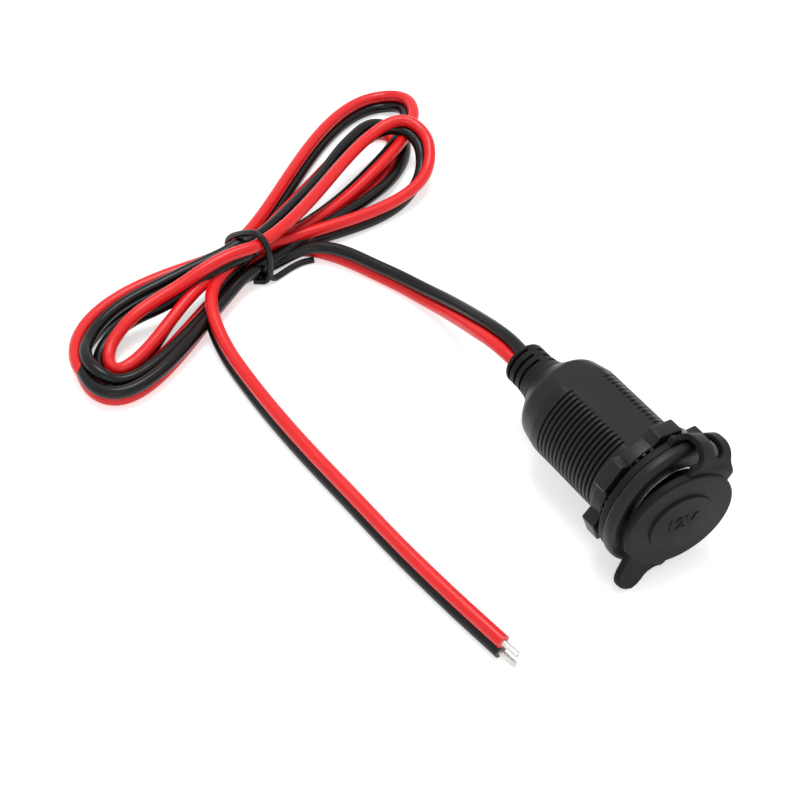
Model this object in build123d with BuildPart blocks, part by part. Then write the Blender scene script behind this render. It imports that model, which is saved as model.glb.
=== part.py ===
from build123d import *
import math
import os

# Panel-mount 12 V power socket with a twin lead tied in a hank.
# Millimetres. The socket's axis is X, the mouth faces +X and +Z is up.
# The origin is on the axis, at the rear face of the flange, which seats on the panel.
# The socket lies on its side with the flange's rim on the floor.

# Housing: flange, threaded barrel and domed rear, one moulding
flange_diameter = 38.0
flange_thickness = 3.4
flange_front_round = 1.5
flange_back_round = 0.4
flange_land = 2.6
dish_depth = 1.6
barrel_wall = 2.9
barrel_length = 35.0
flat_depth = 1.5
dome_length = 12.0
dome_end_diameter = 15.8
dome_bulge = 1.9
thread_pitch = 1.5
thread_depth = 0.65
thread_grooves = 15
thread_run_out = 11.1
rear_wall = 4.6
wiring_room = 8.8

# Contact sleeve, insulator and centre contact
bore_diameter = 21.2
mouth_relief = 0.25
mouth_depth = 5.5
seat_step = 0.4
sleeve_wall = 0.7
sleeve_proud = 0.5
sleeve_clearance = 0.1
sleeve_window_diameter = 12.0
insulator_thickness = 2.4
insulator_clearance = 0.15
rivet_diameter = 3.8
rivet_head_diameter = 6.4
rivet_head_height = 0.8
guide_length = 3.2
running_clearance = 0.08
button_diameter = 7.6
button_height = 3.0
button_web = 1.0
button_recess = 0.7
contact_travel = 1.2
spring_leaf = 0.3
spring_inner_diameter = 5.2
spring_gap = 0.3

# Solder tags and the cores inside the housing
tag_thickness = 0.6
tag_width = 3.0
tag_ring_diameter = 7.2
tag_length = 5.0
tag_height = 4.8
tag_rivet_diameter = 1.2
tag_rivet_head = 2.0
tag_rivet_height = 0.5
tag_rivet_margin = 0.2
tag_clearance = 0.35
strand_diameter = 1.6

# Twin lead: two round cores side by side, standing on edge
core_diameter = 3.8
core_spacing = 3.6
twin_width = core_spacing + core_diameter
core_strip = 2.5
tip_length = 5.6
lead_straight = 9.0

# Strain relief
neck_diameter = 12.4
neck_length = 10.6
neck_flare = 2.6
neck_round = 1.2
relief_slots = 3
relief_slot_pitch = 2.5
relief_slot_width = 0.8
relief_slot_depth = 1.4
relief_slot_inset = 2.0
relief_slot_arc = 158.0
relief_rib_turn = 10.5
spigot_diameter = 9.6
spigot_clearance = 0.1
retainer_lip = 1.0
retainer_thickness = 1.4

# Lock nut with wedge lugs
nut_thickness = 4.3
nut_wall = 1.9
nut_lug_height = 2.2
nut_lugs = 6
nut_lug_top = 5.0
nut_lug_base = 9.4
nut_lug_turn = 11.0
nut_clearance = 0.3
nut_gap = 1.3
nut_edge = 0.3

# Rubber tether ring, strap and dust cap
ring_thickness = 2.2
ring_inset = 0.6
ring_clearance = 0.2
strap_turn = 30.0
strap_width = 12.0
strap_thickness = 1.5
strap_slot_width = 3.0
strap_root_height = 0.3
strap_clearance = 0.55
strap_straight = 0.1
strap_end_gap = 0.6
cap_inset = 3.5
cap_thickness = 2.4
cap_round = 0.8
cap_gap = 0.4
cap_tilt = 8.4
cap_boss_diameter = 18.0
cap_boss_height = 0.7
cap_ear_length = 1.9
plug_clearance = 1.2
plug_taper = 0.4
plug_wall = 1.8
plug_length = 6.4
tab_turn = 222.0
tab_knee = -0.5
tab_flap = 8.6
tab_bend_angle = 28.0
tab_bend_radius = 4.0
tab_width = 9.6
tab_thickness = 2.0
tab_tip_round = 4.7

# Hank of the spare lead and its twist tie
hank_layer = 8.0
hank_bundle = 15.6
bundle_width = 17.0
bundle_length = 52.0
hank_corner = 5.0
tie_wire = 1.2
tie_width = 1.6
tie_tail_length = 9.0
tie_tail_diameter = 1.5
tie_tail_droop = 20.0
tie_tail_height = 11.6
hank_centre = (-147.0, -33.0)
hank_bearing = 106.0
hank_outline = [
    (-157.5, -44.0), (-160.0, -28.0), (-177.0, -6.0), (-194.0, 20.0), (-199.0, 42.0), (-189.0, 52.0),
    (-173.0, 50.0), (-150.0, 43.0), (-139.0, 30.0), (-138.5, 8.0), (-139.0, -12.0), (-137.0, -34.0),
    (-126.0, -60.0), (-117.0, -80.0), (-117.0, -95.0), (-127.0, -101.5), (-143.0, -99.5), (-155.0, -88.0),
    (-160.0, -64.0),
]

# Routes of the loose stretches, as chosen points along the middle of the twin lead
floor_height = -flange_diameter / 2
twin_height = floor_height + twin_width / 2
neck_end = -(barrel_length + dome_length + neck_length)
lead_route = [
    (neck_end, 0.0, 0.0), (neck_end - lead_straight, 0.0, 0.0), (-78.0, 0.9, -3.6), (-89.0, 1.9, -8.8),
    (-100.0, 2.3, -13.4), (-111.0, 1.0, twin_height), (-124.0, -3.4, twin_height), (-135.0, -8.8, twin_height),
    (-142.5, -15.5, twin_height), (-146.5, -24.0, twin_height),
]
tail_route = [
    (-134.0, -55.4, twin_height), (-121.0, -58.6, twin_height), (-106.0, -60.2, twin_height),
    (-88.0, -60.4, twin_height), (-68.0, -59.4, twin_height), (-47.0, -58.6, twin_height),
    (-27.0, -57.2, twin_height), (-9.0, -55.2, twin_height), (5.5, -53.2, twin_height),
]

# Worked-out places
flange_radius = flange_diameter / 2
bore_radius = bore_diameter / 2
mouth_radius = bore_radius + mouth_relief
seat_radius = bore_radius - seat_step
sleeve_radius = bore_radius + sleeve_wall
housing_bore_radius = sleeve_radius + sleeve_clearance
barrel_radius = housing_bore_radius + barrel_wall
dome_start = -barrel_length
dome_end = -(barrel_length + dome_length)
cavity_end = dome_end + rear_wall
sleeve_back = cavity_end + wiring_room
sleeve_floor = sleeve_back + sleeve_wall
sleeve_front = flange_thickness - dish_depth + sleeve_proud
mouth_end = sleeve_front - mouth_depth
insulator_front = sleeve_floor + insulator_thickness
boss_back = sleeve_back - tag_thickness
guide_front = insulator_front + guide_length
button_front = guide_front + contact_travel + button_web
button_back = button_front - button_height
seat_start = button_front + button_recess
strip_height = sleeve_window_diameter / 2
tag_rivet_place = strip_height + tag_thickness + tag_rivet_margin + tag_rivet_head / 2
tag_foot = tag_rivet_place + tag_rivet_head / 2
cavity_radius = math.hypot(tag_foot, tag_width / 2) + tag_clearance
nut_front = -(ring_thickness + nut_gap)
nut_back = nut_front - nut_thickness
nut_ring_radius = barrel_radius + nut_clearance + nut_wall
ring_radius = flange_radius - ring_inset
strap_root_reach = ring_radius + strap_root_height
strap_arch = flange_radius + strap_clearance + strap_thickness / 2
cap_radius = flange_radius - cap_inset
cap_ear_reach = cap_radius + cap_ear_length
cap_back = flange_thickness + cap_gap + cap_radius * math.tan(math.radians(cap_tilt))
plug_radius = bore_radius - plug_clearance
plug_tip_radius = plug_radius - plug_taper

os.makedirs("parts", exist_ok=True)


def around(angle):
    """Direction across the axis, turned from +Z towards +Y by an angle in degrees."""
    return Vector(0, math.sin(math.radians(angle)), math.cos(math.radians(angle)))


def radial_plane(angle):
    """Plane that holds the axis: local x runs along the axis and local y outwards at the angle."""
    outwards = around(angle)
    return Plane(origin=(0, 0, 0), x_dir=(1, 0, 0), z_dir=Vector(1, 0, 0).cross(outwards))


def bend_radii(points):
    """Largest even bends of a lead's route, one radius for each corner."""
    radii = []
    for before, corner, after in zip(points, points[1:], points[2:]):
        run_in = Vector(corner) - Vector(before)
        run_out = Vector(after) - Vector(corner)
        turn = math.radians(run_in.get_angle(run_out))
        radii.append(0.45 * min(run_in.length, run_out.length) / math.tan(turn / 2))
    return radii


# Housing
with BuildPart() as housing:
    with BuildSketch(Plane.XZ) as housing_section:
        with BuildLine():
            dome_middle = (dome_start + dome_end) / 2
            chord_middle = (barrel_radius + dome_end_diameter / 2) / 2
            Polyline(
                (dome_end, dome_end_diameter / 2),
                (dome_end, spigot_diameter / 2 + spigot_clearance),
                (cavity_end, spigot_diameter / 2 + spigot_clearance),
                (cavity_end, cavity_radius - rear_wall / 2),
                (cavity_end + rear_wall / 2, cavity_radius),
                (sleeve_back, cavity_radius),
                (sleeve_back, housing_bore_radius),
                (flange_thickness - dish_depth, housing_bore_radius),
                (flange_thickness, flange_radius - flange_land),
                (flange_thickness, flange_radius),
                (0, flange_radius),
                (0, barrel_radius),
                (dome_start, barrel_radius),
            )
            ThreePointArc(
                (dome_start, barrel_radius),
                (dome_middle, chord_middle + dome_bulge),
                (dome_end, dome_end_diameter / 2),
            )
        make_face()
    revolve(axis=Axis.X)
    flange_rim = housing.edges().filter_by(GeomType.CIRCLE).filter_by(lambda e: abs(e.radius - flange_radius) < 0.01)
    fillet(flange_rim.sort_by(Axis.X)[-1], radius=flange_front_round)
    flange_heel = housing.edges().filter_by(GeomType.CIRCLE).filter_by(lambda e: abs(e.radius - flange_radius) < 0.01)
    fillet(flange_heel.sort_by(Axis.X)[0], radius=flange_back_round)
    with BuildSketch(Plane.XZ) as thread_section:
        for groove in range(thread_grooves):
            groove_x = -thread_run_out - groove * thread_pitch
            with BuildLine():
                Polyline(
                    (groove_x - thread_pitch / 2, barrel_radius + thread_depth / 4),
                    (groove_x, barrel_radius - thread_depth),
                    (groove_x + thread_pitch / 2, barrel_radius + thread_depth / 4),
                    close=True,
                )
            make_face()
    revolve(axis=Axis.X, mode=Mode.SUBTRACT)
    for side in (1, -1):
        with BuildSketch(Plane.YZ.offset(dome_end)):
            with Locations((0, side * barrel_radius)):
                Rectangle(2 * barrel_radius, 2 * flat_depth)
        extrude(amount=barrel_length + dome_length, mode=Mode.SUBTRACT)
housing.part.label = "housing"
export_step(housing.part, "parts/housing.step")

# Contact sleeve: the negative contact, a drawn cup with a relieved mouth, a stepped seat and a window in its floor
with BuildPart() as sleeve_contact:
    with BuildSketch(Plane.XZ):
        with BuildLine():
            Polyline(
                (sleeve_front, mouth_radius),
                (sleeve_front, sleeve_radius),
                (seat_start - sleeve_wall, sleeve_radius),
                (seat_start - sleeve_wall, seat_radius + sleeve_wall),
                (sleeve_back, seat_radius + sleeve_wall),
                (sleeve_back, strip_height),
                (sleeve_floor, strip_height),
                (sleeve_floor, seat_radius),
                (seat_start, seat_radius),
                (seat_start, bore_radius),
                (mouth_end, bore_radius),
                (mouth_end, mouth_radius),
                close=True,
            )
        make_face()
    revolve(axis=Axis.X)
    rim_edges = sleeve_contact.edges().filter_by(GeomType.CIRCLE).group_by(Axis.X)[-1]
    fillet(rim_edges, radius=(sleeve_radius - mouth_radius) * 0.4)
sleeve_contact.part.label = "sleeve_contact"
export_step(sleeve_contact.part, "parts/sleeve_contact.step")

# Insulator: a disc on the sleeve's floor with a boss through its window
with BuildPart() as insulator:
    with BuildSketch(Plane.XZ):
        with BuildLine():
            Polyline(
                (insulator_front, rivet_diameter / 2),
                (insulator_front, seat_radius - insulator_clearance),
                (sleeve_floor, seat_radius - insulator_clearance),
                (sleeve_floor, sleeve_window_diameter / 2 - insulator_clearance),
                (boss_back, sleeve_window_diameter / 2 - insulator_clearance),
                (boss_back, rivet_diameter / 2),
                close=True,
            )
        make_face()
    revolve(axis=Axis.X)
    front_rim = insulator.edges().filter_by(GeomType.CIRCLE).group_by(Axis.X)[-1].sort_by(SortBy.RADIUS)[-1]
    chamfer(front_rim, length=0.5)
insulator.part.label = "insulator"
export_step(insulator.part, "parts/insulator.step")

# Rivet: carries the positive tag behind the insulator and guides the button in front of it
rivet_back = boss_back - tag_thickness - rivet_head_height
with BuildPart() as positive_rivet:
    with BuildSketch(Plane.YZ.offset(rivet_back)):
        Circle(rivet_head_diameter / 2)
    extrude(amount=rivet_head_height)
    with BuildSketch(Plane.YZ.offset(rivet_back)):
        Circle(rivet_diameter / 2)
    extrude(amount=guide_front - rivet_back)
    chamfer(positive_rivet.faces().sort_by(Axis.X)[-1].edges(), length=0.3)
    fillet(positive_rivet.faces().sort_by(Axis.X)[0].edges(), radius=rivet_head_height * 0.6)
positive_rivet.part.label = "positive_rivet"
export_step(positive_rivet.part, "parts/positive_rivet.step")

# Contact button: a cap that slides on the rivet's guide
button_bore = rivet_diameter / 2 + running_clearance
with BuildPart() as centre_contact:
    with BuildSketch(Plane.YZ.offset(button_back)):
        Circle(button_diameter / 2)
    extrude(amount=button_height)
    with BuildSketch(Plane.YZ.offset(button_back)):
        Circle(button_bore)
    extrude(amount=button_height - button_web, mode=Mode.SUBTRACT)
    fillet(centre_contact.faces().sort_by(Axis.X)[-1].edges(), radius=button_web * 0.8)
centre_contact.part.label = "centre_contact"
export_step(centre_contact.part, "parts/centre_contact.step")

# Spring: a dished leaf between the insulator and the button
with BuildPart() as contact_spring:
    with BuildSketch(Plane.XZ):
        with BuildLine():
            Polyline(
                (insulator_front, button_diameter / 2),
                (insulator_front + spring_leaf, button_diameter / 2),
                (button_back - spring_gap, spring_inner_diameter / 2),
                (button_back - spring_gap - spring_leaf, spring_inner_diameter / 2),
                close=True,
            )
        make_face()
    revolve(axis=Axis.X)
contact_spring.part.label = "contact_spring"
export_step(contact_spring.part, "parts/contact_spring.step")

# Solder tags: the positive one under the rivet's head, the negative one on the sleeve's floor
tag_front = boss_back
with BuildPart() as positive_tag:
    with BuildSketch(Plane.YZ.offset(tag_front - tag_thickness)):
        Circle(tag_ring_diameter / 2)
        with Locations((0, -(tag_height + tag_thickness) / 2)):
            Rectangle(tag_width, tag_height + tag_thickness)
        Circle(rivet_diameter / 2, mode=Mode.SUBTRACT)
    extrude(amount=tag_thickness)
    with BuildSketch(Plane.XY.offset(-tag_height - tag_thickness)):
        with Locations((tag_front - tag_length / 2, 0)):
            Rectangle(tag_length, tag_width)
    extrude(amount=tag_thickness)
positive_tag.part.label = "positive_tag"
export_step(positive_tag.part, "parts/positive_tag.step")

with BuildPart() as negative_tag:
    with BuildSketch(Plane.YZ.offset(sleeve_back - tag_thickness)):
        with Locations((0, (strip_height + tag_foot) / 2)):
            Rectangle(tag_width, tag_foot - strip_height)
        with Locations((0, tag_rivet_place)):
            Circle(tag_rivet_diameter / 2, mode=Mode.SUBTRACT)
    extrude(amount=tag_thickness)
    with BuildSketch(Plane.XY.offset(strip_height)):
        with Locations((sleeve_back - tag_length / 2, 0)):
            Rectangle(tag_length, tag_width)
    extrude(amount=tag_thickness)
negative_tag.part.label = "negative_tag"
export_step(negative_tag.part, "parts/negative_tag.step")

with BuildPart() as negative_rivet:
    with BuildSketch(Plane.YZ.offset(sleeve_back - tag_thickness)):
        with Locations((0, tag_rivet_place)):
            Circle(tag_rivet_diameter / 2)
    extrude(amount=tag_thickness)
    with BuildSketch(Plane.YZ.offset(sleeve_back - tag_thickness - tag_rivet_height)):
        with Locations((0, tag_rivet_place)):
            Circle(tag_rivet_head / 2)
    extrude(amount=tag_rivet_height)
negative_rivet.part.label = "negative_rivet"
export_step(negative_rivet.part, "parts/negative_rivet.step")

# Insulated cores and bare strands inside the housing, red below and black above
core_front = cavity_end + core_strip
strand_rest = {"red": -tag_height + strand_diameter / 2, "black": strip_height - strand_diameter / 2}
strand_front = tag_front - tag_thickness - rivet_head_height - strand_diameter / 2
for colour, side in (("red", -1), ("black", 1)):
    core_height = side * core_spacing / 2
    with BuildPart() as inner_core:
        with BuildSketch(Plane.YZ.offset(neck_end)):
            with Locations((0, core_height)):
                Circle(core_spacing / 2)
        extrude(amount=core_front - neck_end)
    inner_core.part.label = f"{colour}_inner_core"
    export_step(inner_core.part, f"parts/{colour}_inner_core.step")
    with BuildPart() as inner_strand:
        with BuildLine(Plane.XZ):
            Line((core_front, core_height), (strand_front, strand_rest[colour]))
        with BuildSketch(Plane.YZ.offset(core_front)):
            with Locations((0, core_height)):
                Circle(strand_diameter / 2)
        sweep()
    inner_strand.part.label = f"{colour}_inner_strand"
    export_step(inner_strand.part, f"parts/{colour}_inner_strand.step")

# Strain relief: slotted neck, flare on the dome's rear face, spigot and retainer inside
with BuildPart() as strain_relief:
    with BuildSketch(Plane.XZ):
        with BuildLine():
            Polyline(
                (dome_end - neck_flare, neck_diameter / 2),
                (neck_end, neck_diameter / 2),
                (neck_end, 0),
                (cavity_end + retainer_thickness, 0),
                (cavity_end + retainer_thickness, spigot_diameter / 2 + retainer_lip),
                (cavity_end, spigot_diameter / 2 + retainer_lip),
                (cavity_end, spigot_diameter / 2),
                (dome_end, spigot_diameter / 2),
                (dome_end, dome_end_diameter / 2 - spigot_clearance),
            )
            TangentArc(
                (dome_end - neck_flare, neck_diameter / 2),
                (dome_end, dome_end_diameter / 2 - spigot_clearance),
                tangent=(1, 0),
            )
        make_face()
    revolve(axis=Axis.X)
    fillet(strain_relief.faces().sort_by(Axis.X)[0].edges(), radius=neck_round)
    for row, row_turn in enumerate((relief_rib_turn - 90, relief_rib_turn + 90)):
        with BuildSketch(radial_plane(row_turn + relief_slot_arc / 2)):
            for slot in range(relief_slots):
                slot_x = neck_end + relief_slot_inset + (slot + row / 2) * relief_slot_pitch
                with Locations((slot_x, neck_diameter / 2)):
                    Rectangle(relief_slot_width, 2 * relief_slot_depth)
        revolve(axis=Axis.X, revolution_arc=relief_slot_arc, mode=Mode.SUBTRACT)
    with BuildSketch(Plane.YZ.offset(neck_end)):
        SlotOverall(twin_width, core_diameter, rotation=90)
    extrude(amount=neck_length + rear_wall + retainer_thickness, mode=Mode.SUBTRACT)
strain_relief.part.label = "strain_relief"
export_step(strain_relief.part, "parts/strain_relief.step")

# Lock nut: a ring with wedge lugs
lug_foot = math.sqrt(nut_ring_radius ** 2 - (nut_lug_base / 2) ** 2)
lug_top = nut_ring_radius + nut_lug_height
with BuildPart() as lock_nut:
    with BuildSketch(Plane.YZ.offset(nut_back)) as nut_section:
        Circle(nut_ring_radius)
        for lug in range(nut_lugs):
            lug_angle = 90 - nut_lug_turn - lug * 360 / nut_lugs
            with PolarLocations(0, 1, start_angle=lug_angle):
                Polygon(
                    (barrel_radius, -nut_lug_base / 2),
                    (lug_foot, -nut_lug_base / 2),
                    (lug_top, -nut_lug_top / 2),
                    (lug_top, nut_lug_top / 2),
                    (lug_foot, nut_lug_base / 2),
                    (barrel_radius, nut_lug_base / 2),
                    align=None,
                )
        Circle(barrel_radius + nut_clearance, mode=Mode.SUBTRACT)
    extrude(amount=nut_thickness)
    for end in (0, -1):
        chamfer(lock_nut.faces().sort_by(Axis.X)[end].outer_wire().edges(), length=nut_edge)
lock_nut.part.label = "lock_nut"
export_step(lock_nut.part, "parts/lock_nut.step")

# Tether ring: seats behind the flange and carries the strap's root
with BuildPart() as tether_ring:
    with BuildSketch(Plane.YZ.offset(-ring_thickness)):
        Circle(ring_radius)
        with PolarLocations(0, 1, start_angle=90 - strap_turn):
            with Locations((strap_root_reach / 2, 0)):
                Rectangle(strap_root_reach, strap_width)
        Circle(barrel_radius + ring_clearance, mode=Mode.SUBTRACT)
    extrude(amount=ring_thickness)
tether_ring.part.label = "tether_ring"
export_step(tether_ring.part, "parts/tether_ring.step")

# Dust cap: disc with a raised middle, hollow plug, pull tab and the strap's ear
cap_normal = Vector(math.cos(math.radians(cap_tilt)), -math.sin(math.radians(cap_tilt)), 0)
cap_plane = Plane(origin=(cap_back, 0, 0), x_dir=(0, 0, 1), z_dir=cap_normal)
tab_root = cap_radius - cap_thickness
tab_knee_reach = cap_radius + tab_knee
tab_bend = math.radians(tab_bend_angle)
tab_out = cap_plane.x_dir.rotate(Axis((0, 0, 0), cap_normal), -tab_turn)
tab_plane = Plane(origin=cap_plane.origin, x_dir=cap_normal, z_dir=cap_normal.cross(tab_out))
with BuildPart() as dust_cap:
    with BuildSketch(cap_plane):
        Circle(cap_radius)
    extrude(amount=cap_thickness)
    cap_front_face = dust_cap.faces().sort_by(Axis(cap_plane.origin, cap_plane.z_dir))[-1]
    fillet(cap_front_face.edges(), radius=cap_round)
    with BuildSketch(cap_plane):
        with PolarLocations(0, 1, start_angle=-strap_turn):
            with Locations((cap_ear_reach / 2, 0)):
                Rectangle(cap_ear_reach, strap_width)
    extrude(amount=cap_thickness - cap_round)
    with BuildLine(tab_plane) as tab_line:
        FilletPolyline(
            (cap_thickness / 2, tab_root),
            (cap_thickness / 2, tab_knee_reach),
            (cap_thickness / 2 + tab_flap * math.sin(tab_bend), tab_knee_reach + tab_flap * math.cos(tab_bend)),
            radius=tab_bend_radius,
        )
    with BuildSketch(Plane(origin=tab_line.wire() @ 0, x_dir=cap_normal, z_dir=tab_line.wire() % 0)):
        Rectangle(tab_thickness, tab_width)
    sweep()
    tab_tip = dust_cap.faces().sort_by(Axis((0, 0, 0), tab_line.wire() % 1))[-1]
    fillet(tab_tip.edges().sort_by(SortBy.LENGTH)[:2], radius=tab_tip_round)
    with BuildSketch(cap_plane.offset(cap_thickness)):
        Circle(cap_boss_diameter / 2)
    extrude(amount=cap_boss_height)
    with BuildSketch(cap_plane):
        Circle(plug_radius)
    with BuildSketch(cap_plane.offset(-plug_length)):
        Circle(plug_tip_radius)
    loft()
    with BuildSketch(cap_plane.offset(-plug_length)):
        Circle(plug_tip_radius - plug_wall)
    extrude(amount=plug_length, mode=Mode.SUBTRACT)
dust_cap.part.label = "dust_cap"
export_step(dust_cap.part, "parts/dust_cap.step")

# Tether strap: a slotted rubber band that arches from the ring's root over the flange to the cap
cap_ear_x = cap_back + math.tan(math.radians(cap_tilt)) * cap_ear_reach * math.sin(math.radians(strap_turn))
cap_ear_middle = cap_ear_x + cap_thickness / 2
ring_middle = -ring_thickness / 2
strap_end = cap_ear_reach + strap_end_gap
with BuildPart() as tether_strap:
    with BuildLine(radial_plane(strap_turn)) as strap_line:
        FilletPolyline(
            (ring_middle, strap_root_reach),
            (ring_middle, strap_arch),
            (cap_ear_middle, strap_arch),
            (cap_ear_middle, strap_end),
            radius=[strap_arch - strap_root_reach - strap_straight, strap_arch - strap_end - strap_straight],
        )
    with BuildSketch(Plane(origin=strap_line.wire() @ 0, x_dir=(1, 0, 0), z_dir=around(strap_turn))):
        Rectangle(strap_thickness, strap_width)
    sweep()
    with BuildSketch(Plane(origin=around(strap_turn) * flange_radius, x_dir=(1, 0, 0), z_dir=around(strap_turn))):
        with Locations(((ring_middle + cap_ear_middle) / 2, 0)):
            SlotOverall(cap_ear_middle - ring_middle + 2 * strap_thickness, strap_slot_width)
    extrude(amount=2 * strap_arch, mode=Mode.SUBTRACT)
tether_strap.part.label = "tether_strap"
export_step(tether_strap.part, "parts/tether_strap.step")

# Loose stretches of the twin lead, on edge
for name, route in (("cord_lead", lead_route), ("cord_tail", tail_route)):
    radii = bend_radii(route)
    print(name, "bend radii", [round(radius, 1) for radius in radii])
    with BuildPart() as stretch:
        with BuildLine() as stretch_path:
            FilletPolyline(*route, radius=radii)
        start_plane = Plane(
            origin=stretch_path.wire() @ 0, x_dir=(0, 0, 1), z_dir=stretch_path.wire() % 0
        )
        with BuildSketch(start_plane):
            SlotOverall(twin_width, core_diameter)
        sweep()
    section_area = core_spacing * core_diameter + math.pi * core_diameter ** 2 / 4
    print(name, "volume", round(stretch.part.volume, 1), "section times length",
          round(section_area * stretch_path.wire().length, 1))
    stretch.part.label = name
    export_step(stretch.part, f"parts/{name}.step")

# Bare conductor tips at the tail's end, red above black
tail_end = Vector(tail_route[-1])
tail_aim = (tail_end - Vector(tail_route[-2])).normalized()
for colour, side in (("red", 1), ("black", -1)):
    with BuildPart() as conductor_tip:
        with BuildSketch(Plane(origin=tail_end + Vector(0, 0, side * core_spacing / 2), z_dir=tail_aim)):
            Circle(strand_diameter / 2)
        extrude(amount=tip_length)
        fillet(conductor_tip.faces().sort_by(Axis((0, 0, 0), tail_aim))[-1].edges(), radius=strand_diameter / 6)
    conductor_tip.part.label = f"{colour}_conductor_tip"
    export_step(conductor_tip.part, f"parts/{colour}_conductor_tip.step")

# Hank: the outer shape of the folded loops, with the raised bundle under the tie
bundle_plane = Plane(
    origin=(hank_centre[0], hank_centre[1], floor_height),
    x_dir=(math.cos(math.radians(hank_bearing)), math.sin(math.radians(hank_bearing)), 0),
    z_dir=(0, 0, 1),
)
tied_width = bundle_width - 2 * tie_wire
tied_height = hank_bundle - 2 * tie_wire
tied_corner = hank_corner - tie_wire
with BuildPart() as cord_hank:
    with BuildSketch(Plane.XY.offset(floor_height)):
        with BuildLine():
            Polyline(*hank_outline, close=True)
        make_face()
        fillet(vertices(), radius=hank_corner)
    extrude(amount=hank_layer)
    with BuildSketch(bundle_plane):
        RectangleRounded(bundle_length, bundle_width, hank_corner)
    extrude(amount=hank_bundle)
    with BuildSketch(Plane(origin=bundle_plane.origin, x_dir=bundle_plane.y_dir, z_dir=bundle_plane.x_dir)):
        with Locations((0, hank_bundle / 2)):
            Rectangle(4 * bundle_width, 4 * hank_bundle)
            RectangleRounded(tied_width, tied_height, tied_corner, mode=Mode.SUBTRACT)
    extrude(amount=tie_width / 2, both=True, mode=Mode.SUBTRACT)
cord_hank.part.label = "cord_hank"
export_step(cord_hank.part, "parts/cord_hank.step")

# Twist tie: a wire loop around the bundle with its twisted ends laid over
tie_droop = math.radians(tie_tail_droop)
tie_tail_plane = Plane(
    origin=bundle_plane.origin - bundle_plane.y_dir * (bundle_width / 2 - tie_wire / 4) + Vector(0, 0, tie_tail_height),
    z_dir=-bundle_plane.y_dir * math.cos(tie_droop) - Vector(0, 0, math.sin(tie_droop)),
)
with BuildPart() as twist_tie:
    with BuildSketch(Plane(origin=bundle_plane.origin, x_dir=bundle_plane.y_dir, z_dir=bundle_plane.x_dir)):
        with Locations((0, hank_bundle / 2)):
            RectangleRounded(bundle_width, hank_bundle, hank_corner)
            RectangleRounded(tied_width, tied_height, tied_corner, mode=Mode.SUBTRACT)
    extrude(amount=tie_width / 2, both=True)
    with BuildSketch(tie_tail_plane):
        Circle(tie_tail_diameter / 2)
    extrude(amount=tie_tail_length)
twist_tie.part.label = "twist_tie"
export_step(twist_tie.part, "parts/twist_tie.step")
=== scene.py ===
"""Panel-mount 12 V power socket with a twin lead tied in a hank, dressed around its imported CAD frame."""
import math
from collections import namedtuple

import bmesh
import bpy
from mathutils import Matrix, Vector


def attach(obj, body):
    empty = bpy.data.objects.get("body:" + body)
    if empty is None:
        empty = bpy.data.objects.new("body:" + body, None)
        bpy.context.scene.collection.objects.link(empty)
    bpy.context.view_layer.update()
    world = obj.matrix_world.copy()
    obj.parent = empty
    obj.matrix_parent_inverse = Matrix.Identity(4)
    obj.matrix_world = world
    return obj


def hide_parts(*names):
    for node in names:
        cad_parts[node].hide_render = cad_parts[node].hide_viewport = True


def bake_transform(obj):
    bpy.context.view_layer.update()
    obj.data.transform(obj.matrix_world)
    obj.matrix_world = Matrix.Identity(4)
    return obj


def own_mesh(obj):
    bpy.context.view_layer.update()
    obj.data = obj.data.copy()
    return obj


bl_info = {
    "name": "Car 12 V power socket",
    "version": (1, 0, 0),
    "blender": (4, 5, 0),
    "location": "View3D > Sidebar > Power Socket",
    "description": "Builds the looks of a panel-mount 12 V socket with its dust cap and tied twin lead",
    "category": "Object",
}

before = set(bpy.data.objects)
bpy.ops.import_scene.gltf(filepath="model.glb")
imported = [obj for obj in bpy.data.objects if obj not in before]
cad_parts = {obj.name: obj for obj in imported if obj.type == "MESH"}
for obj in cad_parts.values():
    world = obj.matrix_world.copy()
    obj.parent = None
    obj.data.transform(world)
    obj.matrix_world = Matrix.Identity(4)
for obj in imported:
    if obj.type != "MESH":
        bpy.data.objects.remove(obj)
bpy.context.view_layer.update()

MM = 0.001
FLOOR = -19.0


def linear(code):
    """Turn an sRGB hex colour into the linear colour that shaders take."""
    channels = [int(code[i:i + 2], 16) / 255 for i in (1, 3, 5)]
    return tuple(c / 12.92 if c <= 0.04045 else ((c + 0.055) / 1.055) ** 2.4 for c in channels)


def size(name, millimetres, description):
    """A length property with its default given in millimetres."""
    return bpy.props.FloatProperty(
        name=name, description=description, default=millimetres * MM, min=0.0, unit="LENGTH", precision=4)


def tint(name, code, description):
    """A colour property with its default given as sRGB hex."""
    return bpy.props.FloatVectorProperty(
        name=name, description=description, default=linear(code), size=3, min=0.0, max=1.0, subtype="COLOR")


class SocketColours(bpy.types.PropertyGroup):
    """Colours of the socket's materials."""
    housing: tint("Housing", "#131212", "Moulded ABS of the flange and barrel")
    nut: tint("Lock nut", "#171617", "Moulded nylon of the lock nut")
    rubber: tint("Cap rubber", "#0d0c0c", "Soft rubber of the cap, strap, ring and strain relief")
    red_core: tint("Red core", "#e8191d", "PVC insulation of the positive core")
    black_core: tint("Black core", "#0f0d0e", "PVC insulation of the negative core")
    tie: tint("Twist tie", "#131212", "PVC skin of the twist tie")


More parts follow.
